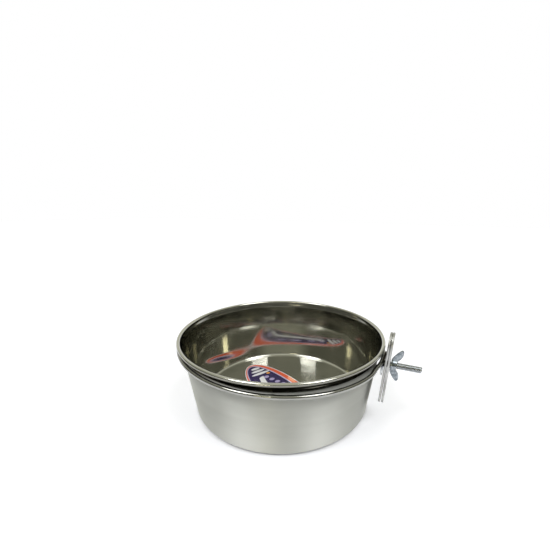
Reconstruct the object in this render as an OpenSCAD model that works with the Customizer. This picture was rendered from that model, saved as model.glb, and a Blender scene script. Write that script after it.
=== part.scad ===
// Bolt-on seed cup: a drawn steel cup that sits in a wire ring, with a two-plate clamp for cage bars.
// Millimetres. The origin is the middle of the cup's base, +Z is up and +X points at the clamp.

/* [Cup] */
// Outer diameter over the rolled rim
rim_d = 152; // [130:1:180]
// Height from the base to the top of the rim
cup_h = 59; // [50:0.5:75]
// Thickness of the steel sheet
sheet_t = 0.6; // [0.4:0.05:0.8]
// Diameter of the rolled rim bead
bead_d = 2.8; // [2.4:0.1:4.5]
// How far the sheet curls over to make the bead, in degrees
curl_turn = 290; // [270:5:300]
// How far the wall flares out under the bead
flare = 0.9; // [0.2:0.1:2]
// Height of the flare, up to the middle of the bead
flare_h = 4; // [2:0.5:8]
// Outer diameter of the wall just above the base corner
base_d = 142; // [120:1:145]
// Outer radius of the corner between the base and the wall
base_round = 3.4; // [2:0.1:6]

/* [Label] */
// Bare flat floor beyond each end of the oval floor label
label_margin = 10.6; // [9:0.2:30]
// Width of the oval floor label
label_w = 42; // [25:1:60]
// Thickness of the label
label_t = 0.15; // [0.1:0.05:0.4]
// Turn of the label's length about the cup's axis, in degrees
label_turn = -31; // [-90:1:90]

/* [Holder ring] */
// Thickness of the ring's wire
wire_d = 3; // [2:0.1:4]
// Room between the ring's bore and the cup wall, all round when centred
ring_slack = 0.9; // [0.6:0.1:2]
// Gap between the ring and the wall opposite the clamp, where the ring leans on it
lean_gap = 0.3; // [0.2:0.05:0.5]
// Gap between the ring's high side and the underside of the rim bead
rim_gap = 0.6; // [0.2:0.05:1.2]
// How far the ring slopes down towards the clamp, in degrees
ring_tilt = 2; // [0:0.25:3]
// Length of the butt weld that closes the ring
seam_l = 1.4; // [0.8:0.1:3]
// Height of that weld above the wire
seam_rise = 0.15; // [0.05:0.05:0.4]
// Place of that weld round the ring, in degrees from the clamp
seam_turn = -70; // [-150:1:-30]

/* [Clamp bolt] */
// Outer diameter of the thread
thread_d = 4.9; // [4:0.1:6]
// Thread pitch
pitch = 0.8; // [0.6:0.05:1]
// Depth of the thread grooves
thread_depth = 0.45; // [0.3:0.05:0.6]
// Diameter of the bolt's flat round head
head_d = 17; // [13:0.5:22]
// Thickness of the head at its edge
head_t = 1.2; // [1:0.1:2.5]
// Rise of the head's domed back
head_dome = 0.7; // [0.3:0.1:1.2]
// How deep the ring's wire is pressed and welded into the head
weld_depth = 1.2; // [0.3:0.05:1.4]
// Drop of the bolt's axis below the wire where they are welded
bolt_drop = 2.3; // [0:0.1:4]
// Length of the bolt beyond the head
stud_l = 23.9; // [18:0.1:30]

/* [Clamp plates] */
// Length of each clamp plate
plate_l = 53.5; // [40:0.5:60]
// Width of each clamp plate
plate_w = 17; // [12:0.5:22]
// Thickness of each clamp plate
plate_t = 1.5; // [1:0.1:2.5]
// Bevel along the plate's stamped edges
plate_edge = 0.3; // [0.1:0.05:0.4]
// Room round the bolt in each plate's hole
hole_slack = 0.35; // [0.2:0.05:0.6]
// Height of the hole above the middle of the plate
hole_rise = 4; // [0:0.5:6]
// Gap between the head, the plates and the nut when the clamp is closed by hand
stack_gap = 0.4; // [0.35:0.05:0.6]
// How far the loose plates lean in the hole's slack, top towards the cup, in degrees
plate_lean = 1.9; // [0:0.1:2]

/* [Wing nut] */
// Diameter of the nut's hub at its seat
hub_d = 8.6; // [7:0.1:12]
// Height of the hub
hub_h = 3.9; // [3.5:0.1:7]
// Distance across the two wings
wing_span = 23.4; // [20:0.2:28]
// Height of the wing tips above the nut's seat
wing_h = 6.8; // [6:0.2:11]
// Thickness of each wing
wing_t = 1.7; // [1.2:0.1:2.4]
// Radius of the round wing tips
tip_r = 1.9; // [1:0.1:2.5]
// Running room of the nut's bore on the thread, on the radius
thread_gap = 0.05; // [0.02:0.01:0.1]

/* [Hidden] */
$fn = 96;
// Most that an arc turns from one of its points to the next
arc_step = 10;
// Points round the label's edge, and the angle between two of them
label_points = 72;
label_step = 360 / label_points;
// Flat crest left between the thread's grooves, as a share of the pitch
crest_share = 1 / 8;
// How much the nut's hub narrows on each side, as a share of its height
hub_taper_share = 1 / 8;
// Where a wing leaves the hub's seat, as a share of the hub's radius
wing_foot_share = 0.8;
// How high up the hub a wing is joined, as a share of the hub's height
wing_root_share = 0.9;

rim_r = rim_d / 2;
bead_r = bead_d / 2;
base_r = base_d / 2;
bead_z = cup_h - bead_r;
wall_top_r = rim_r - bead_d + sheet_t;
// Where the wall starts to flare
flare_r = wall_top_r - flare;
flare_z = bead_z - flare_h;
// Lean of the wall from the vertical
draft = atan2(flare_r - base_r, flare_z - base_round);
label_l = 2 * (base_r - base_round - label_margin);

wire_r = wire_d / 2;
// Height of the wire's middle where the ring is highest, opposite the clamp
high_z = cup_h - bead_d - rim_gap - wire_r;
high_wall_r = high_z < flare_z
    ? base_r + (high_z - base_round) * tan(draft)
    : flare_r + (high_z - flare_z) * flare / flare_h;
// The cup drops in from above, so the ring clears the base as well as the wall beside it
ring_r = max(high_wall_r, base_r) + ring_slack + wire_r;
ring_z = high_z - ring_r * sin(ring_tilt);
ring_x = ring_r * cos(ring_tilt) - wire_r - lean_gap - high_wall_r;
low_z = ring_z - ring_r * sin(ring_tilt);
ring_out_x = ring_x + ring_r * cos(ring_tilt) + wire_r;

// Places along the bolt, counted from the cup's axis
head_x = ring_out_x - weld_depth;
stud_x = head_x + head_t;
inner_plate_x = stud_x + stack_gap;
outer_plate_x = inner_plate_x + plate_t + stack_gap;
nut_x = outer_plate_x + plate_t + stack_gap;
bolt_z = low_z - bolt_drop;
thread_r = thread_d / 2;
hole_r = thread_r + hole_slack;

// Points of an arc from one angle to another, either way round
function arc(centre, radius, from, to) =
    let (steps = max(2, ceil(abs(to - from) / arc_step)), step = (to - from) / steps)
    [for (i = [0:steps]) centre + radius * [cos(from + step * i), sin(from + step * i)]];

// The sheet from the middle of the floor up the wall and over the rolled rim
module cup() {
    corner = [base_r - base_round, base_round];
    bead = [rim_r - bead_r, bead_z];
    curl_end = 180 - curl_turn;
    color("silver")
        rotate_extrude($fn = 180)
            polygon(concat(
                [[0, 0]],
                arc(corner, base_round, -90, -draft),
                [[flare_r, flare_z]],
                arc(bead, bead_r - sheet_t, 180, curl_end),
                arc(bead, bead_r, curl_end, 180),
                [[flare_r - sheet_t, flare_z]],
                arc(corner, base_round - sheet_t, -draft, -90),
                [[0, sheet_t]]
            ));
}

// Thin oval sticker on the floor of the cup
module label() {
    color("midnightblue")
        translate([0, 0, sheet_t])
            rotate([0, 0, label_turn])
                linear_extrude(label_t)
                    polygon([for (i = [1:label_points])
                        [label_l * cos(i * label_step), label_w * sin(i * label_step)] / 2]);
}

// Wire hoop with its ends butt-welded
module support_ring() {
    seam_angle = seam_l / ring_r * 180 / PI;
    color("gainsboro")
        translate([ring_x, 0, ring_z])
            rotate([0, ring_tilt, 0]) {
                rotate_extrude($fn = 180)
                    translate([ring_r, 0])
                        circle(wire_r, $fn = 48);
                rotate([0, 0, seam_turn - seam_angle / 2])
                    rotate_extrude(angle = seam_angle, $fn = 180)
                        translate([ring_r, 0])
                            circle(wire_r + seam_rise, $fn = 48);
            }
}

// Turns a shape drawn about +Z to lie along the bolt, at a distance from the cup's axis
module on_bolt(x) {
    translate([x, 0, bolt_z])
        rotate([0, 90, 0])
            children();
}

// Half outline of the thread, from the head out: one V groove each pitch, with a flat crest between
function thread_outline() =
    let (flat = pitch * crest_share, count = floor(stud_l / pitch) - 2, root = (pitch - flat) / 2)
    [for (groove = [1:count], point = [[thread_r, 0], [thread_r - thread_depth, root], [thread_r, 2 * root]])
        point + [0, head_t + groove * pitch]];

// Flat round head, domed on the cup's side, with the threaded stud on its other face
module clamp_bolt() {
    dome_r = (pow(head_d / 2, 2) + pow(head_dome, 2)) / (2 * head_dome);
    dome_half = asin(head_d / 2 / dome_r);
    tip_z = head_t + stud_l;
    color("lightsteelblue")
        on_bolt(head_x)
            rotate_extrude($fn = 96)
                polygon(concat(
                    arc([0, dome_r - head_dome], dome_r, -90, dome_half - 90),
                    [[head_d / 2, head_t], [thread_r, head_t]],
                    thread_outline(),
                    [[thread_r, tip_z - thread_depth], [thread_r - thread_depth, tip_z], [0, tip_z]]
                ));
}

// Oblong stamped plate with round ends, hung on the bolt by its hole
module clamp_plate(x) {
    end_r = plate_w / 2;
    end_z = plate_l / 2 - end_r;
    color("lightgray")
        on_bolt(x)
            rotate([0, -plate_lean, 0])
                difference() {
                    translate([hole_rise, 0, 0]) {
                        for (side = [-1, 1])
                            translate([side * end_z, 0, 0])
                                rounded_disc(end_r);
                        translate([-end_z, 0, 0])
                            rotate([90, 0, 90])
                                linear_extrude(2 * end_z)
                                    plate_section(end_r);
                    }
                    translate([0, 0, -plate_t])
                        cylinder(h = 3 * plate_t, r = hole_r);
                }
}

// Cross-section of the plate between its ends
module plate_section(half_w) {
    polygon([[-half_w, plate_edge], [plate_edge - half_w, 0], [half_w - plate_edge, 0], [half_w, plate_edge],
             [half_w, plate_t - plate_edge], [half_w - plate_edge, plate_t],
             [plate_edge - half_w, plate_t], [-half_w, plate_t - plate_edge]]);
}

// The round end of the plate, with the same edge as the straight part
module rounded_disc(radius) {
    rotate_extrude()
        polygon([[0, 0], [radius - plate_edge, 0], [radius, plate_edge], [radius, plate_t - plate_edge],
                 [radius - plate_edge, plate_t], [0, plate_t]]);
}

module inner_plate() {
    clamp_plate(inner_plate_x);
}

module outer_plate() {
    clamp_plate(outer_plate_x);
}

// Outline of one wing, seen square on: out from the hub's foot, round the tip and back to its top
module wing_outline() {
    foot = [hub_d / 2 * wing_foot_share, 0];
    tip = [wing_span / 2 - tip_r, wing_h - tip_r];
    root = [hub_d / 2 - hub_h * hub_taper_share, hub_h * wing_root_share];
    // The two edges leave the tip's circle square to the line from the hub
    lean = atan2(tip.y - foot.y, tip.x - foot.x);
    polygon(concat(
        [[0, 0], foot],
        arc(tip, tip_r, lean - 90, lean + 90),
        [root, [0, root.y]]
    ));
}

// Hub with two upright wings, bored to run on the thread
module wing_nut() {
    color("lightsteelblue")
        on_bolt(nut_x)
            difference() {
                union() {
                    cylinder(h = hub_h, r1 = hub_d / 2, r2 = hub_d / 2 - hub_h * hub_taper_share);
                    for (side = [0, 180])
                        rotate([90, 0, side])
                            translate([0, 0, -wing_t / 2])
                                linear_extrude(wing_t)
                                    wing_outline();
                }
                translate([0, 0, -hub_h])
                    cylinder(h = 3 * hub_h, r = thread_r + thread_gap);
            }
}

cup();
label();
support_ring();
clamp_bolt();
inner_plate();
outer_plate();
wing_nut();
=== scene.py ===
# Bolt-on seed cup: a drawn steel cup in a wire ring, with a bolt and a two-plate clamp for cage bars.
# Metres. The origin is the middle of the cup's base, +Z is up and +X points at the clamp.
from math import asin, atan2, cos, pi, radians, sin, tan

import bmesh
import bpy
from mathutils import Matrix, Vector


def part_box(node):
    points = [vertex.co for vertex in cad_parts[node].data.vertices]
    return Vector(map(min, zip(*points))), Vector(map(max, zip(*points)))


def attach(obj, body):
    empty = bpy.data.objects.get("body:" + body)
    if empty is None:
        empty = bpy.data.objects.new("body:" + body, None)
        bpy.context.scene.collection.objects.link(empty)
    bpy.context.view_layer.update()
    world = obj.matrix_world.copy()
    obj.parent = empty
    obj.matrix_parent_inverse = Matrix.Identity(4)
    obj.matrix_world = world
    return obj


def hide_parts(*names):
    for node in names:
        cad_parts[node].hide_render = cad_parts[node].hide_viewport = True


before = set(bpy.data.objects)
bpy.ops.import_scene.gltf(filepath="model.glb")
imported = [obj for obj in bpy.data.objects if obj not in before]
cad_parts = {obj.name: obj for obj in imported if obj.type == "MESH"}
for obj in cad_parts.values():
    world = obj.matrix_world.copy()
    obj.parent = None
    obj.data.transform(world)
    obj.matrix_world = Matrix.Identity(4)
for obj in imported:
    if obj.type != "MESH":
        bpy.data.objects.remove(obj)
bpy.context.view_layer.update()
scene = bpy.context.scene

# Camera
# It stands close to the cup, a hand's width above it, and looks down at it with a wide lens. The lens is
# shifted, because the picture shows the cup well below the middle of what the lens sees.
camera_place = Vector((0.0792, -0.1731, 0.1359))
camera_heading = radians(22.0)
camera_dip = radians(30.83)
camera_roll = radians(0.84)
camera_data = bpy.data.cameras.new("photo_camera")
camera_data.sensor_width = 36
camera_data.lens = 17.402
camera_data.shift_x = -0.0326
camera_data.shift_y = 0.1736
camera_data.clip_start = 0.005
camera = bpy.data.objects.new("photo_camera", camera_data)
camera.matrix_world = (
    Matrix.Translation(camera_place)
    @ Matrix.Rotation(camera_heading, 4, "Z")
    @ Matrix.Rotation(pi / 2 - camera_dip, 4, "X")
    @ Matrix.Rotation(camera_roll, 4, "Z")
)
scene.collection.objects.link(camera)
scene.camera = camera
scene.view_settings.view_transform = "Standard"


# Cup
# A single disc of stainless sheet, drawn into a pan whose wall leans out by two degrees, with its edge
# curled outwards into a hollow bead above a small flare. The inside and the rim are polished like a mirror,
# and the outside is brushed round and round to a satin finish up to the flare.
sheet = 0.0006
bead = 0.0028
curl = radians(290)
flare = 0.0009
flare_height = 0.004
flare_steps = 10
base_radius = 0.071
corner_radius = 0.0034
rim_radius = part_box("cup")[1].x
cup_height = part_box("cup")[1].z

# Stretches over which things change: floor_shine and satin_end where the finish changes, the others where
# painted light and shade change. They are heights, and the last one is a distance from the axis.
floor_shine = (0.004, 0.010)
painted_light_near_base = (0.010, 0.024)
wall_shade = (0.0400, 0.0520)
satin_end = (0.0505, 0.0530)
bead_start = (0.0570, 0.0581)
bead_underside = (0.0576, 0.0583)
bead_outer_side = (0.0749, 0.0753)


def new_material(name):
    """A material with its nodes, its links and the shader that they lead to"""
    material = bpy.data.materials.new(name)
    material.use_nodes = True
    return material, material.node_tree, material.node_tree.nodes["Principled BSDF"]


def fill(tree, made, inputs):
    """Gives a node's inputs their links or values"""
    for name, value in inputs.items():
        if isinstance(value, bpy.types.NodeSocket):
            tree.links.new(value, made.inputs[name])
        else:
            made.inputs[name].default_value = value


def node(tree, kind, inputs=None, **settings):
    """Adds a node, with its settings and either values or links for its inputs"""
    made = tree.nodes.new("ShaderNode" + kind)
    for name, value in settings.items():
        setattr(made, name, value)
    fill(tree, made, inputs or {})
    return made


def math(tree, operation, first, second=0.0):
    return node(tree, "Math", {0: first, 1: second}, operation=operation).outputs[0]


def vector_math(tree, operation, first, second=(0, 0, 0)):
    made = node(tree, "VectorMath", {0: first, 1: second}, operation=operation)
    return made.outputs["Value" if operation in ("LENGTH", "DISTANCE", "DOT_PRODUCT") else "Vector"]


def ranged(tree, value, low, high, new_low, new_high):
    """Carries a value from one range to another, and holds it there"""
    made = node(tree, "MapRange", {"Value": value, "From Min": low, "From Max": high,
                                   "To Min": new_low, "To Max": new_high})
    return made.outputs["Result"]


def blended(tree, share, first, second):
    """Mixes two colours"""
    made = node(tree, "Mix", {"Factor": share}, data_type="RGBA")
    for socket, colour in ((6, first), (7, second)):
        fill(tree, made, {socket: colour if isinstance(colour, bpy.types.NodeSocket) else (*colour, 1)})
    return made.outputs[2]


def mottled(tree, vector, scale, detail=2.0, roughness=0.5):
    made = node(tree, "TexNoise", {"Vector": vector, "Scale": scale, "Detail": detail,
                                   "Roughness": roughness})
    return made.outputs["Fac"]


def level(tree, place):
    """A place without its height, as seen straight from above"""
    return vector_math(tree, "MULTIPLY", place, (1, 1, 0))


def turned_place(tree, place, fine, coarse):
    """Coordinates for marks that run round the cup's axis: fine across them and coarse along them"""
    flat = level(tree, place)
    along = vector_math(tree, "MULTIPLY", vector_math(tree, "NORMALIZE", flat), (coarse, coarse, coarse))
    height = node(tree, "SeparateXYZ", {0: place}).outputs["Z"]
    across = math(tree, "MULTIPLY", math(tree, "ADD", vector_math(tree, "LENGTH", flat), height), fine)
    return vector_math(tree, "ADD", along, node(tree, "CombineXYZ", {"Z": across}).outputs[0])


def bumped(tree, height, distance, below=None):
    inputs = {"Height": height, "Distance": distance, "Strength": 1.0}
    if below is not None:
        inputs["Normal"] = below
    return node(tree, "Bump", inputs).outputs["Normal"]


def polished_steel():
    """The inside: a mirror with a slight waver from the drawing press, and faint polishing rings, with
    painted shade under the bead
    """
    material, tree, shader = new_material("polished_steel")
    place = node(tree, "TexCoord").outputs["Object"]
    height = node(tree, "SeparateXYZ", {0: place}).outputs["Z"]
    rings = mottled(tree, turned_place(tree, place, 900, 3), 1, 3)
    smudges = mottled(tree, place, 45, 3, 0.6)
    waver = mottled(tree, place, 26, 1)
    tone = blended(tree, ranged(tree, smudges, 0.35, 0.7, 0, 1), (0.52, 0.52, 0.483), (0.59, 0.585, 0.543))
    shine = math(tree, "ADD", ranged(tree, smudges, 0.4, 0.7, 0.045, 0.10),
                 ranged(tree, rings, 0.3, 0.7, 0, 0.03))
    # Painted shade: the outer underside of the bead is coloured dark and its reflections are dimmed.
    outer = ranged(tree, vector_math(tree, "LENGTH", level(tree, place)), *bead_outer_side, 0, 1)
    painted_shade_under_bead = math(tree, "MULTIPLY", ranged(tree, height, *bead_underside, 1, 0), outer)
    fill(tree, shader, {
        "Base Color": blended(tree, painted_shade_under_bead, tone, (0.20, 0.195, 0.17)),
        "Specular Tint": blended(tree, painted_shade_under_bead, (1, 1, 1), (0.2, 0.2, 0.19)),
        "Roughness": math(tree, "ADD", shine, ranged(tree, height, *floor_shine, 0, 0.012)),
        "Normal": bumped(tree, rings, 0.0000008, bumped(tree, waver, 0.0002)),
        "Metallic": 1,
    })
    return material


def satin_steel():
    """The outside: brushed round the axis, so that highlights are drawn out up and down the wall"""
    material, tree, shader = new_material("satin_steel")
    place = node(tree, "TexCoord").outputs["Object"]
    height = node(tree, "SeparateXYZ", {0: place}).outputs["Z"]
    lines = mottled(tree, turned_place(tree, place, 2600, 5), 1, 4, 0.65)
    bands = mottled(tree, turned_place(tree, place, 150, 1.2), 1, 2)
    clouds = mottled(tree, place, 26, 3, 0.6)
    wavy_height = math(tree, "ADD", height, math(tree, "MULTIPLY", clouds, 0.0012))
    polish = ranged(tree, wavy_height, *satin_end, 0, 1)
    brushing = math(tree, "SUBTRACT", 1.0, polish)

    patches = math(tree, "ADD", math(tree, "MULTIPLY", bands, 0.4), math(tree, "MULTIPLY", clouds, 0.6))
    patches = ranged(tree, patches, 0.35, 0.65, 0, 1)
    brushed = blended(tree, patches, (0.67, 0.677, 0.645), (0.735, 0.742, 0.71))
    # Painted light and shade: the brushed wall is coloured lighter towards the base and darker towards the
    # flare.
    brushed = blended(tree, ranged(tree, wavy_height, *painted_light_near_base, 0, 1), (0.77, 0.776, 0.745), brushed)
    shaded = blended(tree, ranged(tree, wavy_height, *wall_shade, 0, 1), brushed, (0.54, 0.545, 0.515))
    # Painted shade: the polished flare under the bead is coloured dark and its reflections are dimmed; the
    # bead above it keeps a steel colour.
    shaded_flare_and_bead = blended(tree, ranged(tree, height, *bead_start, 0, 1), (0.13, 0.125, 0.11), (0.60, 0.60, 0.565))
    flare_shade = math(tree, "MULTIPLY", polish, ranged(tree, height, *bead_start, 1, 0))
    grain = math(tree, "ADD", ranged(tree, lines, 0.3, 0.7, 0.52, 0.60),
                 ranged(tree, clouds, 0.35, 0.7, 0, 0.05))
    scratched = math(tree, "MULTIPLY", lines, ranged(tree, polish, 0, 1, 1, 0.08))
    fill(tree, shader, {
        "Base Color": blended(tree, polish, shaded, shaded_flare_and_bead),
        "Specular Tint": blended(tree, flare_shade, (1, 1, 1), (0.15, 0.15, 0.14)),
        "Roughness": math(tree, "ADD", math(tree, "MULTIPLY", grain, brushing), 0.07),
        "Normal": bumped(tree, scratched, 0.000006),
        "Tangent": vector_math(tree, "CROSS_PRODUCT", (0, 0, 1), place),
        "Anisotropic": math(tree, "MULTIPLY", brushing, 0.95),
        "Anisotropic Rotation": 0.25,
        "Metallic": 1,
    })
    return material


def verts_of(geometry):
    return [part for part in geometry if isinstance(part, bmesh.types.BMVert)]


def bend(profile, tip, centre, turn, steps):
    """Carries the end of an outline round a centre, and gives its new end"""
    made = bmesh.ops.spin(profile, geom=[tip], cent=centre, axis=(0, 1, 0), angle=turn, steps=steps,
                          use_merge=False)
    return verts_of(made["geom_last"])[0]


def draw_on(profile, tip, place):
    """Carries the end of an outline straight to a place, and gives its new end"""
    end = bmesh.ops.extrude_vert_indiv(profile, verts=[tip])["verts"][0]
    end.co = place
    return end


def turned(outline, steps, axis=(0, 0, 1)):
    """Turns an outline once round an axis through the origin, and closes it there"""
    bmesh.ops.spin(outline, geom=outline.verts[:] + outline.edges[:], cent=(0, 0, 0), axis=axis,
                   angle=2 * pi, steps=steps, use_merge=True)
    bmesh.ops.remove_doubles(outline, verts=outline.verts[:], dist=1e-7)
    bmesh.ops.recalc_face_normals(outline, faces=outline.faces[:])


def piece(name, mesh, materials, body, slot, *nodes):
    """Makes an object of a bmesh, and ties it to its body and the solids that it stands for; its slot is not
    used
    """
    data = bpy.data.meshes.new(name)
    mesh.to_mesh(data)
    mesh.free()
    data.polygons.foreach_set("use_smooth", [True] * len(data.polygons))
    data.set_sharp_from_angle(angle=radians(40))
    made = bpy.data.objects.new(name, data)
    scene.collection.objects.link(made)
    for material in materials:
        data.materials.append(material)
    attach(made, body)
    if nodes:
        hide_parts(*nodes)
    return made


def settle(made):
    """Applies an object's modifiers"""
    bpy.context.view_layer.update()
    seen = made.evaluated_get(bpy.context.evaluated_depsgraph_get())
    data = bpy.data.meshes.new_from_object(seen)
    made.modifiers.clear()
    made.data = data


half = sheet / 2
bead_radius = bead / 2
bead_place = Vector((rim_radius - bead_radius, 0, cup_height - bead_radius))
corner_place = Vector((base_radius - corner_radius, 0, corner_radius))
wall_top = bead_place - Vector((bead_radius - half, 0, 0))
flare_start = wall_top - Vector((flare, 0, flare_height))
wall_lean = atan2(flare_start.x + half - base_radius, flare_start.z - corner_radius)

cup_mesh = bmesh.new()
cup_tip = cup_mesh.verts.new((0, 0, half))
cup_tip = draw_on(cup_mesh, cup_tip, (corner_place.x, 0, half))
cup_tip = bend(cup_mesh, cup_tip, corner_place, wall_lean - pi / 2, 14)
cup_tip = draw_on(cup_mesh, cup_tip, flare_start)
for step in range(1, flare_steps + 1):
    share = step / flare_steps
    eased = share * share * (3 - 2 * share)
    early = share * (1 - share) ** 2 * flare_height * tan(wall_lean)
    flared = flare_start + Vector((eased * flare + early, 0, share * flare_height))
    cup_tip = draw_on(cup_mesh, cup_tip, flared)
bend(cup_mesh, cup_tip, bead_place, curl, 40)
turned(cup_mesh, 256)
cup = piece("drawn_cup", cup_mesh, [polished_steel(), satin_steel()], "cup", "cup_steel", "cup")
skin = cup.modifiers.new("sheet", "SOLIDIFY")
skin.thickness = sheet
skin.offset = 0
skin.use_even_offset = True
skin.material_offset = 1
settle(cup)


# Floor label
# An oval of glossy printed film, stuck to the floor inside the cup. The print is plain shapes: a coloured
# rim that is wider on one side, a dark field with pale stripes, leaves and dots, and a white ribbon.
label_length = 0.114
label_width = 0.042
label_turn = radians(-31)
label_low, label_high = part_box("label")
label_film = label_high.z - label_low.z


def printed_film():
    material, tree, shader = new_material("printed_film")
    place = node(tree, "TexCoord").outputs["Object"]
    laid = node(tree, "Mapping", {"Vector": place, "Rotation": (0, 0, label_turn)}, vector_type="TEXTURE")
    parts = node(tree, "SeparateXYZ", {0: laid.outputs["Vector"]})
    along = math(tree, "DIVIDE", parts.outputs["X"], label_length / 2)
    across = math(tree, "DIVIDE", parts.outputs["Y"], label_width / 2)

    def oval(middle_x, middle_y, half_length, half_width):
        """1 inside an oval and 0 outside it, in shares of the label's half length and half width"""
        x = math(tree, "DIVIDE", math(tree, "SUBTRACT", along, middle_x), half_length)
        y = math(tree, "DIVIDE", math(tree, "SUBTRACT", across, middle_y), half_width)
        reach = math(tree, "ADD", math(tree, "MULTIPLY", x, x), math(tree, "MULTIPLY", y, y))
        return ranged(tree, reach, 0.97, 1.03, 1, 0)

    colour = blended(tree, oval(0, 0, 0.985, 0.96), (0.80, 0.80, 0.84), (0.78, 0.12, 0.05))
    colour = blended(tree, oval(0, -0.07, 0.95, 0.80), colour, (0.62, 0.58, 0.80))
    field = blended(tree, ranged(tree, along, -0.8, 0.8, 0, 1), (0.024, 0.009, 0.100), (0.009, 0.007, 0.060))
    colour = blended(tree, oval(0, -0.08, 0.935, 0.75), colour, field)
    for side in (-1, 1):
        for stripe in range(3):
            inside = oval(side * (0.66 + 0.09 * stripe), 0.0, 0.032, 0.46 - 0.12 * stripe)
            colour = blended(tree, inside, colour, (0.83, 0.83, 0.86))
        colour = blended(tree, oval(side * 0.60, 0.30, 0.025, 0.09), colour, (0.86, 0.36, 0.06))
        for leaf in range(4):
            inside = oval(side * (0.18 + 0.11 * leaf), 0.36 - 0.10 * leaf, 0.035, 0.12)
            colour = blended(tree, inside, colour, (0.42, 0.36, 0.60))
    ribbon = math(tree, "MULTIPLY", math(tree, "SINE", math(tree, "MULTIPLY", along, 2 * pi)), 0.12)
    off = math(tree, "ABSOLUTE", math(tree, "SUBTRACT", math(tree, "ADD", across, 0.18), ribbon))
    inside = math(tree, "MULTIPLY", ranged(tree, off, 0.11, 0.13, 1, 0), oval(0, -0.08, 0.56, 0.60))
    colour = blended(tree, inside, colour, (0.85, 0.85, 0.88))
    worn = ranged(tree, mottled(tree, place, 900, 2), 0.62, 0.75, 0, 0.12)
    wrinkles = mottled(tree, place, 70, 2)
    fill(tree, shader, {
        "Base Color": blended(tree, worn, colour, (0.6, 0.6, 0.62)),
        "Roughness": ranged(tree, wrinkles, 0.3, 0.7, 0.12, 0.22),
        "Normal": bumped(tree, wrinkles, 0.00015),
        "Coat Weight": 0.3,
        "Coat Roughness": 0.06,
    })
    return material


def thicken(mesh, way):
    """Draws the faces of a flat mesh out into a solid"""
    made = bmesh.ops.extrude_face_region(mesh, geom=mesh.faces[:])
    bmesh.ops.translate(mesh, verts=verts_of(made["geom"]), vec=way)


label_mesh = bmesh.new()
bmesh.ops.create_circle(label_mesh, cap_ends=True, segments=128, radius=0.5)
thicken(label_mesh, (0, 0, label_film))
bmesh.ops.scale(label_mesh, vec=(label_length, label_width, 1), verts=label_mesh.verts[:])
bmesh.ops.rotate(label_mesh, matrix=Matrix.Rotation(label_turn, 3, "Z"), verts=label_mesh.verts[:])
bmesh.ops.translate(label_mesh, verts=label_mesh.verts[:], vec=(0, 0, label_low.z))
bmesh.ops.recalc_face_normals(label_mesh, faces=label_mesh.faces[:])
rim_edges = [edge for edge in label_mesh.edges
             if len(edge.link_faces) == 2 and edge.calc_face_angle() > 1
             and edge.verts[0].co.z > sheet + label_film / 2]
bmesh.ops.bevel(label_mesh, geom=rim_edges, offset=label_film / 3, segments=2, profile=0.5, affect="EDGES",
                material=-1)
piece("floor_label", label_mesh, [printed_film()], "cup", "label_print", "label")


# Support ring
# A hoop of round wire, bent in one turn and butt-welded at the front, then polished. The cup hangs in it
# by the bead. It slopes down a little towards the clamp and leans on the wall on the other side. The heat of
# welding has pulled it up and inwards a little next to the bolt's head.
wire_radius = 0.0015
ring_low, ring_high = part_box("support_ring")
ring_slope = radians(2)
ring_reach = (ring_high.x - ring_low.x) / 2 - wire_radius
ring_radius = ring_reach / cos(ring_slope)
ring_place = (ring_low + ring_high) / 2
seam_turn = radians(-70)
seam_half = 0.0011
seam_rise = 0.14
weld_rise = 0.0018
weld_pull = 0.0007
heated_half = 0.026
heated_ease = 0.018


def polished_wire():
    material, tree, shader = new_material("polished_wire")
    place = node(tree, "TexCoord").outputs["Object"]
    lines = mottled(tree, turned_place(tree, place, 3000, 8), 1, 3)
    smudges = mottled(tree, place, 120, 3)
    fill(tree, shader, {
        "Base Color": blended(tree, smudges, (0.31, 0.31, 0.29), (0.43, 0.43, 0.41)),
        "Roughness": ranged(tree, smudges, 0.35, 0.7, 0.05, 0.14),
        "Normal": bumped(tree, lines, 0.000003),
        "Metallic": 1,
    })
    return material


ring_mesh = bmesh.new()
bmesh.ops.create_circle(ring_mesh, cap_ends=False, segments=28, radius=wire_radius)
bmesh.ops.rotate(ring_mesh, matrix=Matrix.Rotation(pi / 2, 3, "X"), verts=ring_mesh.verts[:])
bmesh.ops.translate(ring_mesh, verts=ring_mesh.verts[:], vec=(ring_radius, 0, 0))
turned(ring_mesh, 360)
for vert in ring_mesh.verts:
    off = (atan2(vert.co.y, vert.co.x) - seam_turn) * ring_radius
    if abs(off) < 2 * seam_half:
        middle = Vector((vert.co.x, vert.co.y, 0)).normalized() * ring_radius
        swell = seam_rise * cos(off / seam_half * pi / 4) ** 2
        vert.co = middle + (vert.co - middle) * (1 + swell)
bmesh.ops.rotate(ring_mesh, matrix=Matrix.Rotation(ring_slope, 3, "Y"), verts=ring_mesh.verts[:])
bmesh.ops.translate(ring_mesh, verts=ring_mesh.verts[:], vec=(ring_place.x, 0, ring_place.z))
for vert in ring_mesh.verts:
    if vert.co.x > 0:
        near = min(1, max(0, (heated_half - abs(vert.co.y)) / heated_ease))
        vert.co.z += weld_rise * near * near * (3 - 2 * near)
        vert.co.x -= weld_pull * sin(pi * near) ** 2
piece("wire_hoop", ring_mesh, [polished_wire()], "hanger", "ring_wire", "support_ring")


# Weld
# The hoop is welded to the back of the bolt's head. A little metal has run out on both sides of the wire
# and set in a rough bead, browned by the heat.
wire_back = ring_place.x + ring_reach
weld_height = ring_place.z - ring_reach * tan(ring_slope) + weld_rise
drops = 4
drop_radius = 0.0010
drop_start = 0.0012
drop_spacing = 0.0011
drop_sink = 0.0012


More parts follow.
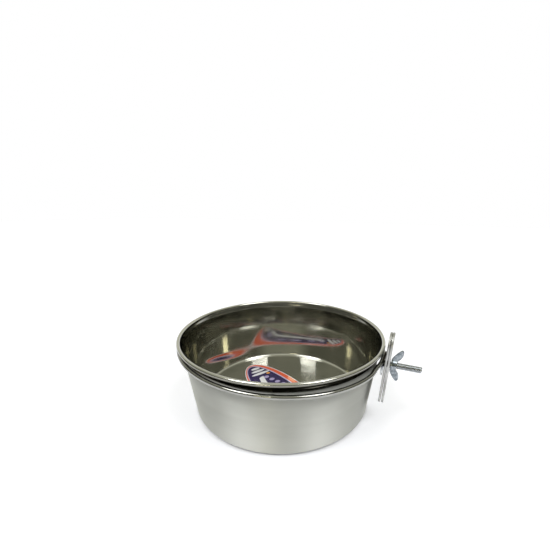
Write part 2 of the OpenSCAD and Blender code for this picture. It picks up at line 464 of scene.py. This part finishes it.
def weld_metal():
    material, tree, shader = new_material("weld_metal")
    place = node(tree, "TexCoord").outputs["Object"]
    burnt = mottled(tree, place, 420, 3, 0.6)
    tone = ranged(tree, burnt, 0.35, 0.65, 0, 1)
    fill(tree, shader, {
        "Base Color": blended(tree, tone, (0.045, 0.035, 0.025), (0.22, 0.20, 0.18)),
        "Roughness": ranged(tree, burnt, 0.3, 0.7, 0.3, 0.55),
        "Normal": bumped(tree, mottled(tree, place, 1500, 3), 0.00008),
        "Metallic": 0.9,
    })
    return material


def cast(made, voxel, rounds):
    """Runs a piece's overlapping shapes into one and rounds them off, as casting and welding do"""
    melted = made.modifiers.new("melted", "REMESH")
    melted.mode = "VOXEL"
    melted.voxel_size = voxel
    settle(made)
    mesh = bmesh.new()
    mesh.from_mesh(made.data)
    for _ in range(rounds):
        bmesh.ops.smooth_vert(mesh, verts=mesh.verts[:], factor=0.5, use_axis_x=True, use_axis_y=True,
                              use_axis_z=True)
    mesh.to_mesh(made.data)
    mesh.free()
    made.data.polygons.foreach_set("use_smooth", [True] * len(made.data.polygons))


weld_mesh = bmesh.new()
for side in (-1, 1):
    for drop in range(drops):
        made = bmesh.ops.create_icosphere(weld_mesh, subdivisions=3, radius=drop_radius - 0.0001 * drop)
        bmesh.ops.scale(weld_mesh, vec=(0.8, 1.25, 0.8), verts=made["verts"])
        bmesh.ops.translate(weld_mesh, verts=made["verts"],
                            vec=(wire_back + 0.0004 - 0.00012 * drop,
                                 side * (drop_start + drop_spacing * drop), weld_height - drop_sink))
cast(piece("weld_bead", weld_mesh, [weld_metal()], "hanger", "bolt_zinc"), 0.00018, 4)


# Clamp bolt
# A steel bolt with a wide flat head and a rolled M5 thread, zinc plated after the head was welded on to the
# hoop. The head is coloured dark brown next to the weld, and dark blue round that. The tip is chamfered so
# that the nut starts.
bolt_low, bolt_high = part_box("clamp_bolt")
bolt_height = (bolt_low.z + bolt_high.z) / 2
head_radius = (bolt_high.z - bolt_low.z) / 2
head_dome = 0.0007
head_thickness = 0.0012
head_edge = 0.0003
head_front = bolt_low.x + head_dome + head_thickness
thread_radius = 0.00245
thread_depth = 0.00048
thread_pitch = 0.0008
thread_start = head_front + 0.0009
shank_radius = thread_radius - thread_depth / 2
tip_chamfer = 0.0006
round_steps = 48


def bright_zinc(name, pale, deep, grain):
    """Zinc plate: bright and a little blue, mottled where it has been handled"""
    material, tree, shader = new_material(name)
    place = node(tree, "TexCoord").outputs["Object"]
    spangle = mottled(tree, place, grain, 3, 0.6)
    handled = mottled(tree, place, grain / 5, 2)
    fill(tree, shader, {
        "Base Color": blended(tree, ranged(tree, spangle, 0.35, 0.65, 0, 1), deep, pale),
        "Roughness": math(tree, "ADD", ranged(tree, spangle, 0.3, 0.7, 0.10, 0.18),
                          ranged(tree, handled, 0.4, 0.7, 0, 0.08)),
        "Normal": bumped(tree, spangle, 0.00002),
        "Metallic": 1,
    })
    return material, tree, shader, place


def bolt_zinc():
    """Zinc, coloured dark brown and dark blue on the head next to the weld, with painted shade in the grooves
    of the thread
    """
    material, tree, shader, place = bright_zinc("bolt_zinc", (0.84, 0.86, 0.87), (0.66, 0.68, 0.70), 500)
    plated = shader.inputs["Base Color"].links[0].from_socket
    along = node(tree, "SeparateXYZ", {0: place}).outputs["X"]
    from_weld = vector_math(tree, "DISTANCE", place, (wire_back, 0, weld_height))
    reach = math(tree, "ADD", from_weld, math(tree, "MULTIPLY", mottled(tree, place, 300), 0.002))
    dark_brown_share = ranged(tree, reach, 0.0075, 0.0100, 1, 0)
    dark_blue_share = ranged(tree, reach, 0.0095, 0.0115, 1, 0)
    head_only = ranged(tree, along, head_front, head_front + 0.001, 1, 0)
    tinted = blended(tree, math(tree, "MULTIPLY", dark_blue_share, head_only), plated, (0.10, 0.11, 0.14))
    tinted = blended(tree, math(tree, "MULTIPLY", dark_brown_share, head_only), tinted, (0.035, 0.028, 0.02))
    off_axis = vector_math(tree, "ADD", place, (0, 0, -bolt_height))
    radius = vector_math(tree, "LENGTH", vector_math(tree, "MULTIPLY", off_axis, (0, 1, 1)))
    # Painted shade: the grooves of the thread are coloured darker.
    deep_in_thread = ranged(tree, radius, thread_radius - thread_depth, thread_radius - 0.3 * thread_depth, 1, 0)
    painted_groove_shade = math(tree, "MULTIPLY", deep_in_thread, math(tree, "SUBTRACT", 1.0, head_only))
    fill(tree, shader, {"Base Color": blended(tree, painted_groove_shade, tinted, (0.22, 0.235, 0.245))})
    return material


def limited(mesh, low, high, radius_at):
    """Turns down, as on a lathe, what stands proud of a radius between two places along the bolt"""
    for vert in mesh.verts:
        if low <= vert.co.x <= high:
            reach = Vector((0, vert.co.y, vert.co.z))
            most = radius_at(vert.co.x)
            if reach.length > most:
                reach *= most / reach.length
                vert.co = (vert.co.x, reach.y, reach.z)


def rim_of(mesh, low, high):
    """The open edges of a mesh that lie between two places along the bolt"""
    return [edge for edge in mesh.edges
            if edge.is_boundary and all(low < vert.co.x < high for vert in edge.verts)]


def take_in(mesh, other):
    """Moves all of one mesh into another"""
    data = bpy.data.meshes.new("moved")
    other.to_mesh(data)
    other.free()
    mesh.from_mesh(data)
    bpy.data.meshes.remove(data)


bolt_mesh = bmesh.new()
thread_tip = bolt_mesh.verts.new((thread_start - 2 * thread_pitch, 0, thread_radius - thread_depth))
for along, depth in ((0.06, 1), (0.46, 0), (0.56, 0), (0.94, 1), (1, 1)):
    thread_tip = draw_on(bolt_mesh, thread_tip,
                         (thread_start + (along - 2) * thread_pitch, 0, thread_radius - depth * thread_depth))
turns = int((bolt_high.x - thread_start) / thread_pitch) + 4
bmesh.ops.spin(bolt_mesh, geom=bolt_mesh.verts[:] + bolt_mesh.edges[:], cent=(0, 0, 0), axis=(1, 0, 0),
               dvec=(thread_pitch / round_steps, 0, 0), angle=2 * pi * turns, steps=turns * round_steps)
bmesh.ops.remove_doubles(bolt_mesh, verts=bolt_mesh.verts[:], dist=0.000004)
for cut, beyond in ((thread_start, -1), (bolt_high.x, 1)):
    bmesh.ops.bisect_plane(bolt_mesh, geom=bolt_mesh.verts[:] + bolt_mesh.edges[:] + bolt_mesh.faces[:],
                           plane_co=(cut, 0, 0), plane_no=(beyond, 0, 0), clear_outer=True)
limited(bolt_mesh, bolt_high.x - tip_chamfer, bolt_high.x,
        lambda x: thread_radius - thread_depth * (x - bolt_high.x + tip_chamfer) / tip_chamfer)
bmesh.ops.edgeloop_fill(bolt_mesh,
                        edges=rim_of(bolt_mesh, bolt_high.x - thread_pitch / 2, bolt_high.x + thread_pitch))

head_mesh = bmesh.new()
dome_radius = (head_radius ** 2 + head_dome ** 2) / (2 * head_dome)
head_tip = head_mesh.verts.new((bolt_low.x, 0, 0))
head_tip = bend(head_mesh, head_tip, Vector((bolt_low.x + dome_radius, 0, 0)),
                asin((head_radius - head_edge) / dome_radius), 14)
head_tip = bend(head_mesh, head_tip, head_tip.co + Vector((head_edge, 0, 0)), pi / 2, 5)
head_tip = draw_on(head_mesh, head_tip, (head_front - head_edge, 0, head_radius))
head_tip = bend(head_mesh, head_tip, Vector((head_front - head_edge, 0, head_radius - head_edge)), pi / 2, 5)
head_tip = draw_on(head_mesh, head_tip, (head_front, 0, shank_radius + head_edge))
bend(head_mesh, head_tip, Vector((head_front + head_edge, 0, shank_radius + head_edge)), -pi / 2, 5)
turned(head_mesh, round_steps, (1, 0, 0))
take_in(bolt_mesh, head_mesh)
bmesh.ops.bridge_loops(bolt_mesh, edges=rim_of(bolt_mesh, head_front, thread_start + thread_pitch / 2))
bmesh.ops.recalc_face_normals(bolt_mesh, faces=bolt_mesh.faces[:])
bmesh.ops.translate(bolt_mesh, verts=bolt_mesh.verts[:], vec=(0, 0, bolt_height))
piece("head_and_stud", bolt_mesh, [bolt_zinc()], "hanger", "bolt_zinc", "clamp_bolt")


# Clamp plates
# Two oblong plates stamped from stainless strip, with round ends and one punched hole, tumbled to a satin
# finish. They hang loose on the bolt and lean a little, the outer one more, so that they meet at the top.
plate_thickness = 0.0015
plate_radius = 0.0085
plate_half = 0.02675
plate_bevel = 0.0003
hole_radius = 0.0028
hole_rise = 0.004
stack_gap = 0.0004
inner_x = head_front + stack_gap
outer_x = inner_x + plate_thickness + stack_gap
inner_lean = radians(1.6)
outer_lean = radians(2.3)


def tumbled_steel():
    material, tree, shader = new_material("tumbled_steel")
    place = node(tree, "TexCoord").outputs["Object"]
    drawn = node(tree, "Mapping", {"Vector": place, "Scale": (1, 1, 0.06)}).outputs["Vector"]
    lines = mottled(tree, drawn, 2600, 3)
    dents = mottled(tree, place, 260, 3, 0.6)
    streaks = mottled(tree, drawn, 1300, 2, 0.6)
    tone = math(tree, "ADD", math(tree, "MULTIPLY", streaks, 0.6), math(tree, "MULTIPLY", dents, 0.4))
    tone = ranged(tree, tone, 0.40, 0.60, 0, 1)
    fill(tree, shader, {
        "Base Color": blended(tree, tone, (0.32, 0.32, 0.31), (0.60, 0.60, 0.59)),
        "Roughness": math(tree, "ADD", ranged(tree, lines, 0.3, 0.7, 0.32, 0.42),
                          ranged(tree, dents, 0.4, 0.7, 0, 0.06)),
        "Normal": bumped(tree, dents, 0.00003, bumped(tree, lines, 0.000006)),
        "Metallic": 1,
    })
    return material


def stamped_plate(name, node_name, hole_x, lean, material):
    """A plate whose hole is on the bolt and whose inner face meets the bolt's axis at hole_x"""
    mesh = bmesh.new()
    outer = bmesh.ops.create_circle(mesh, cap_ends=False, segments=72, radius=plate_radius)["verts"]
    for vert in outer:
        if abs(vert.co.x) > plate_radius / 1000:
            vert.co.x += (plate_half - plate_radius) * (1 if vert.co.x > 0 else -1)
        vert.co.x += hole_rise
    bmesh.ops.create_circle(mesh, cap_ends=False, segments=40, radius=hole_radius)
    bmesh.ops.triangle_fill(mesh, edges=mesh.edges[:], use_beauty=True)
    thicken(mesh, (0, 0, plate_thickness))
    bmesh.ops.recalc_face_normals(mesh, faces=mesh.faces[:])
    creases = [edge for edge in mesh.edges if edge.calc_face_angle(0) > 1]
    bmesh.ops.bevel(mesh, geom=creases, offset=plate_bevel, segments=3, profile=0.5, affect="EDGES",
                    material=-1)
    stood_up = Matrix.Rotation(-lean, 3, "Y") @ Matrix.Rotation(pi / 2, 3, "Y")
    bmesh.ops.rotate(mesh, matrix=stood_up, verts=mesh.verts[:])
    bmesh.ops.translate(mesh, verts=mesh.verts[:], vec=(hole_x, 0, bolt_height))
    piece(name, mesh, [material], node_name, "plate_steel", node_name)


plate_finish = tumbled_steel()
stamped_plate("inner_jaw", "inner_plate", inner_x, inner_lean, plate_finish)
stamped_plate("outer_jaw", "outer_plate", outer_x, outer_lean, plate_finish)


# Wing nut
# A cast nut with a round tapered hub and two broad wings that lean outwards, tapped M5 and zinc plated.
# The wings are thick at the hub, thinner at the edge, and run into the hub in soft cast corners.
nut_seat = outer_x + plate_thickness + stack_gap
hub_radius = 0.0043
hub_height = 0.0039
hub_top_radius = 0.0038
bore_radius = 0.0026
wing_root_thickness = 0.0022
wing_edge_thickness = 0.0014
wing_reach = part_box("wing_nut")[1].z - bolt_height
# The outline of a wing, as distances along the bolt from the nut's seat and out from the bolt's axis
wing_corners = ((0.0003, 0.0030), (0.0003, 0.0050), (0.0024, 0.0085), (0.0046, 0.0112), (0.0055, 0.0117),
                (0.0064, 0.0112), (0.0068, 0.0098), (0.0067, 0.0078), (0.0058, 0.0056), (0.0045, 0.0040),
                (0.0036, 0.0030))

nut_mesh = bmesh.new()
hub_tip = nut_mesh.verts.new((0, 0, bore_radius))
for along, out in ((0, hub_radius), (hub_height * 0.25, hub_radius), (hub_height, hub_top_radius),
                   (hub_height, bore_radius), (0, bore_radius)):
    hub_tip = draw_on(nut_mesh, hub_tip, (along, 0, out))
turned(nut_mesh, round_steps, (1, 0, 0))
for turn in (0, pi):
    wing = bmesh.new()
    wing.faces.new([wing.verts.new((along, 0, out)) for along, out in wing_corners])
    thicken(wing, (0, 1, 0))
    for vert in wing.verts:
        out = min(1, max(0, (vert.co.z - hub_radius) / (wing_reach - hub_radius)))
        thickness = wing_root_thickness + (wing_edge_thickness - wing_root_thickness) * out
        vert.co.y = (vert.co.y - 0.5) * thickness
    bmesh.ops.rotate(wing, matrix=Matrix.Rotation(turn, 3, "X"), verts=wing.verts[:])
    bmesh.ops.recalc_face_normals(wing, faces=wing.faces[:])
    take_in(nut_mesh, wing)
bmesh.ops.translate(nut_mesh, verts=nut_mesh.verts[:], vec=(nut_seat, 0, bolt_height))
nut_finish = bright_zinc("nut_zinc", (0.41, 0.445, 0.475), (0.10, 0.12, 0.14), 330)[0]
cast(piece("cast_wing_nut", nut_mesh, [nut_finish], "wing_nut", "nut_zinc", "wing_nut"), 0.00013, 5)


# Studio
# White paper under the cup, in a dim olive room that the camera sees as plain white. Two ceiling panels and
# two strips hang to the left and right above the camera, and a small warm lamp lower down. The polished
# inside shows its own reflection many times over, so light is followed further than usual.
paper_drop = 0.00005
ceiling_height = 1.2
ceiling_reach = 0.70
lamp_reach = 1.5

floor_mesh = bmesh.new()
bmesh.ops.create_grid(floor_mesh, x_segments=1, y_segments=1, size=4)
bmesh.ops.translate(floor_mesh, verts=floor_mesh.verts[:], vec=(0, 0, -paper_drop))
floor_data = bpy.data.meshes.new("studio_floor")
floor_mesh.to_mesh(floor_data)
floor_mesh.free()
studio_floor = bpy.data.objects.new("studio_floor", floor_data)
scene.collection.objects.link(studio_floor)


def paper():
    """White paper that glows to the eye, so that it fades into the white, with the glow left out close round
    the cup's base as a painted contact shadow
    """
    material, tree, shader = new_material("white_paper")
    fill(tree, shader, {"Base Color": (0.86, 0.865, 0.93, 1), "Roughness": 0.9, "Specular IOR Level": 0.1})
    path = node(tree, "LightPath")
    seen = math(tree, "MAXIMUM", path.outputs["Is Camera Ray"],
                math(tree, "MAXIMUM", path.outputs["Is Glossy Ray"], path.outputs["Is Transmission Ray"]))
    reach = vector_math(tree, "LENGTH", node(tree, "TexCoord").outputs["Object"])
    # Painted contact shadow: no glow close round the cup's base, which the cup's base corner also reflects.
    near = ranged(tree, reach, base_radius - corner_radius + 0.001, base_radius + 0.002, 0, 0.33)
    clear = math(tree, "ADD", near, ranged(tree, reach, 0.30, 1.50, 0, 0.63))
    strength = math(tree, "MULTIPLY", seen, clear)
    glow = node(tree, "Emission", {"Color": (0.94, 0.95, 1, 1), "Strength": strength})
    both = node(tree, "AddShader", {0: shader.outputs[0], 1: glow.outputs[0]})
    fill(tree, tree.nodes["Material Output"], {"Surface": both.outputs[0]})
    return material


floor_data.materials.append(paper())

world = bpy.data.worlds.new("studio")
world.use_nodes = True
sky = world.node_tree
sky.nodes.clear()
direction = node(sky, "TexCoord").outputs["Generated"]
height = node(sky, "SeparateXYZ", {0: direction}).outputs["Z"]
forwards = vector_math(sky, "DOT_PRODUCT", direction, (sin(camera_heading), -cos(camera_heading), 0))
behind = blended(sky, ranged(sky, height, 0.10, 0.36, 0, 1), (1.0, 1.0, 1.0), (0.72, 0.72, 0.61))
in_front = blended(sky, ranged(sky, height, 0.30, 0.42, 0, 1), (0.085, 0.085, 0.07), (0.33, 0.33, 0.265))
room = blended(sky, ranged(sky, forwards, -0.70, -0.25, 0, 1), behind, in_front)
room = blended(sky, ranged(sky, height, 0.62, 0.82, 0, 1), room, (0.60, 0.60, 0.50))
seen = node(sky, "LightPath").outputs["Is Camera Ray"]
air = node(sky, "Background", {"Color": blended(sky, seen, room, (1, 1, 1)), "Strength": 1.0})
node(sky, "OutputWorld", {"Surface": air.outputs[0]})
scene.world = world
scene.cycles.max_bounces = 16
scene.cycles.glossy_bounces = 12


def light_panel(name, place, facing, width, height, brightness, colour=(1, 1, 1)):
    """A rectangular lamp with its height along the way that it leans"""
    lamp = bpy.data.lights.new(name, "AREA")
    lamp.shape = "RECTANGLE"
    lamp.size = width
    lamp.size_y = height
    lamp.energy = brightness * pi * width * height
    lamp.color = colour
    made = bpy.data.objects.new(name, lamp)
    made.matrix_world = Matrix.Translation(place) @ facing.to_matrix().to_4x4()
    scene.collection.objects.link(made)


def away(turn, rise):
    """The way from the cup to a lamp, in degrees round from the camera's side and up from level"""
    heading = camera_heading - pi / 2 + radians(turn)
    return Vector((cos(heading), sin(heading), tan(radians(rise))))


for side in (-1, 1):
    outwards = away(side * 61, 0)
    squared = Matrix.Rotation(camera_heading - pi + radians(side * 61), 3, "Z").to_quaternion()
    light_panel(f"ceiling_{side}", outwards * ceiling_reach + Vector((0, 0, ceiling_height)), squared,
                0.44, 0.62, 6.5)
    to_strip = away(side * 41, 40.0)
    light_panel(f"strip_{side}", to_strip * lamp_reach, to_strip.to_track_quat("Z", "Y"), 0.69, 0.035, 7.0)
to_lamp = away(-16, 25.3).normalized()
light_panel("front_lamp", to_lamp * lamp_reach, to_lamp.to_track_quat("Z", "Y"), 0.34, 0.13, 5.5,
            (1, 0.93, 0.64))
